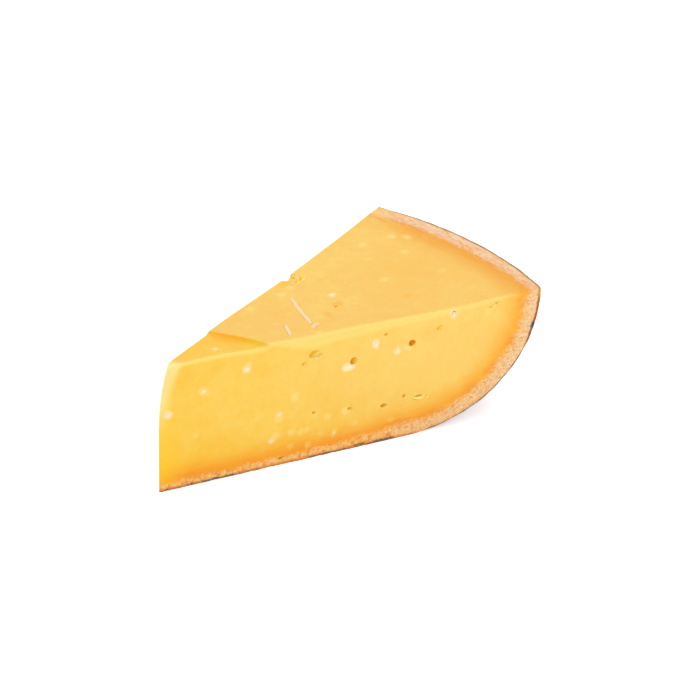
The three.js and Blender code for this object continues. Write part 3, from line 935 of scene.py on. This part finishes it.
def crumbMaterial(name, main, other, grainSize):
    material, tree = newMaterial(name)
    place = tree.node("ShaderNodeTexCoord", output="Object")
    grit = tree.grain(place, grainSize, 31, 3)
    surface = tree.tint(tree.clamp(grit * 0.6 + 0.4), colour[main], colour[other])
    finishMaterial(tree, surface, 0.55 + grit * 0.1, grit * 0.08, Subsurface_Weight=0.5,
                   Subsurface_Radius=(1, 0.6, 0.3), Subsurface_Scale=2 * mm, Specular_IOR_Level=0.2)
    return material


print("shaping the wedge")
crystalNumbers = range(len(eyeSpots), len(eyeSpots + crystalSpots))
wedgeSpots = spotMesh("wedgeSpots", eyeSpots + crystalSpots, crystalNumbers)
cheese = growPiece("wedge", wedgeSpots, wedge, shapeWedge, cheeseMaterial())
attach(cheese, "root")
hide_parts("cheese_wedge")


def shapeCrystals(tree, spots, size):
    return ballsAt(tree, spots, size, subdivisions=3, **crystalPlan["lumps"])


def shapeCrumbs(tree, spots, size):
    return ballsAt(tree, spots, size, subdivisions=3, **crumbPlan["lumps"])


print("setting the crystals and the crumbs")
solidSpots = [s for s in crystalSpots if s["tone"] >= crystalPlan["solidFrom"]]
crystals = growPiece("crystals", spotMesh("crystalSpots", solidSpots), wedge, shapeCrystals,
                     crumbMaterial("crystal", "crystal", "wornAndHighlight", crystalPlan["grain"]))
crumbs = growPiece("crumbs", spotMesh("crumbSpots", crumbSpots), wedge, shapeCrumbs,
                   crumbMaterial("crumb", "crumb", "heel", crumbPlan["grain"]))

# Curls that the knife pushed up on top, as (reach, turn) along each. They are rolls, mostly sunk.
curlPlan = {
    "rollRadius": 1.0 * mm,
    "endPart": 0.62,  # of the roll's radius
    "sunk": 0.5 * mm,
    "lumpSize": 2.2 * mm,
    "lumpiness": 0.9,
    "wobbleSize": 1.2 * mm,
    "wobble": 0.7 * mm,
    "sides": 12,
    "step": 0.35 * mm,
    "grain": 1.2 * mm,
}
curlLines = [
    [(86.5, 8.2), (84.1, 5.4), (82.2, 3.0), (79.9, -1.6), (77.9, -7.6)],
    [(68.5, -3.4), (66.4, -7.8), (65.1, -11.6)],
    [(76.3, -10.6), (78.2, -9.2), (80.8, -9.0)],
]


def curlMesh():
    mesh = bpy.data.meshes.new("curlLines")
    places, edges = [], []
    for line in curlLines:
        start = len(places)
        places += [(reach * mm, radians(turn), -1) for reach, turn in line]
        edges += [(start + i, start + i + 1) for i in range(len(line) - 1)]
    mesh.from_pydata(places, edges, [])
    sunk = mesh.attributes.new("sunk", "FLOAT", "POINT")
    sunk.data.foreach_set("value", [curlPlan["sunk"]] * len(places))
    return mesh


def shapeCurls(tree, lines, size):
    curve = tree.node("GeometryNodeMeshToCurve", {}, {0: placeSpots(tree, lines, size)})
    curve = tree.node("GeometryNodeCurveSplineType", {"spline_type": "CATMULL_ROM"}, {0: curve})
    curve = tree.node("GeometryNodeResampleCurve", {"mode": "LENGTH"}, {0: curve, "Length": curlPlan["step"]})
    along = tree.node("GeometryNodeSplineParameter")
    full = tree.rise(along, 0, 0.2) * tree.fall(along, 0.75, 1)
    place = tree.node("GeometryNodeInputPosition")
    lumpy = 1 + tree.grain(place, curlPlan["lumpSize"], 9, 3) * curlPlan["lumpiness"]
    thick = tree.between(full, curlPlan["endPart"], 1) * lumpy
    ring = {"Resolution": curlPlan["sides"], "Radius": size["rollRadius"]}
    ring = tree.node("GeometryNodeCurvePrimitiveCircle", {}, ring)
    curl = tree.node("GeometryNodeCurveToMesh", {}, {0: curve, 1: ring, "Scale": thick, "Fill Caps": True})
    scale = noiseLump / curlPlan["wobbleSize"]
    wobble = tree.node("ShaderNodeTexNoise", {}, {"Vector": place, "Scale": scale}, output=1)
    return tree.move(curl, offset=tree.work("SUBTRACT", wobble, 0.5) * curlPlan["wobble"])


print("laying the curls")
curls = growPiece("curls", curlMesh(), {**wedge, "rollRadius": curlPlan["rollRadius"]}, shapeCurls,
                  crumbMaterial("curl", "curl", "curlPale", curlPlan["grain"]))
for piece in (crystals, crumbs, curls):
    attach(piece, "root")

# the studio
cameraPlan = {"yaw": radians(41.224), "pitch": radians(29.187), "distance": 1.2, "lens": 143.5, "near": 0.01}
aim = Vector((15.69, -1.79, 30)) * mm
lightPlan = [
    {"from": (0.3, 0.5, 1.6), "size": 1.4, "power": 16},
    {"from": (-1.2, -1.1, 0.9), "size": 1.4, "power": 7},
    {"from": (0.7, -1.3, 0.25), "size": 1.0, "power": 3},
]
worldLight = 0.85
floorPlan = {"halfSide": 3, "colour": (0.86, 0.87, 0.92, 1), "roughness": 0.8, "glow": 0.42}


def aimAt(thing, place):
    thing.location = place
    thing.rotation_euler = (aim - Vector(place)).to_track_quat("-Z", "Y").to_euler()
    bpy.context.scene.collection.objects.link(thing)


def buildStudio():
    yaw, pitch = cameraPlan["yaw"], cameraPlan["pitch"]
    forward = Vector((sin(yaw) * cos(pitch), cos(yaw) * cos(pitch), -sin(pitch)))
    camera = bpy.data.objects.new("camera", bpy.data.cameras.new("camera"))
    camera.data.lens = cameraPlan["lens"]
    camera.data.clip_start = cameraPlan["near"]
    aimAt(camera, aim - forward * cameraPlan["distance"])
    bpy.context.scene.camera = camera
    for i, plan in enumerate(lightPlan):
        light = bpy.data.lights.new(f"softbox{i}", "AREA")
        light.shape = "DISK"
        light.size = plan["size"]
        light.energy = plan["power"]
        aimAt(bpy.data.objects.new(light.name, light), plan["from"])
    world = bpy.data.worlds.new("studio")
    world.use_nodes = True
    world.node_tree.nodes["Background"].inputs[0].default_value = (1, 1, 1, 1)
    world.node_tree.nodes["Background"].inputs[1].default_value = worldLight
    bpy.context.scene.world = world
    bpy.context.scene.view_settings.view_transform = "Standard"


def layFloor():
    half = floorPlan["halfSide"]
    corners = [(-half, -half, 0), (half, -half, 0), (half, half, 0), (-half, half, 0)]
    mesh = bpy.data.meshes.new("floor")
    mesh.from_pydata(corners, [], [(0, 1, 2, 3)])
    material, tree = newMaterial("floor")
    shader = tree.node("ShaderNodeBsdfPrincipled", {}, {
        "Base Color": floorPlan["colour"], "Roughness": floorPlan["roughness"],
        "Emission Color": (1, 1, 1, 1), "Emission Strength": floorPlan["glow"],
    })
    tree.node("ShaderNodeOutputMaterial", {}, {"Surface": shader})
    mesh.materials.append(material)
    floor = bpy.data.objects.new("floor", mesh)
    bpy.context.scene.collection.objects.link(floor)


print("lighting the studio")
buildStudio()
layFloor()
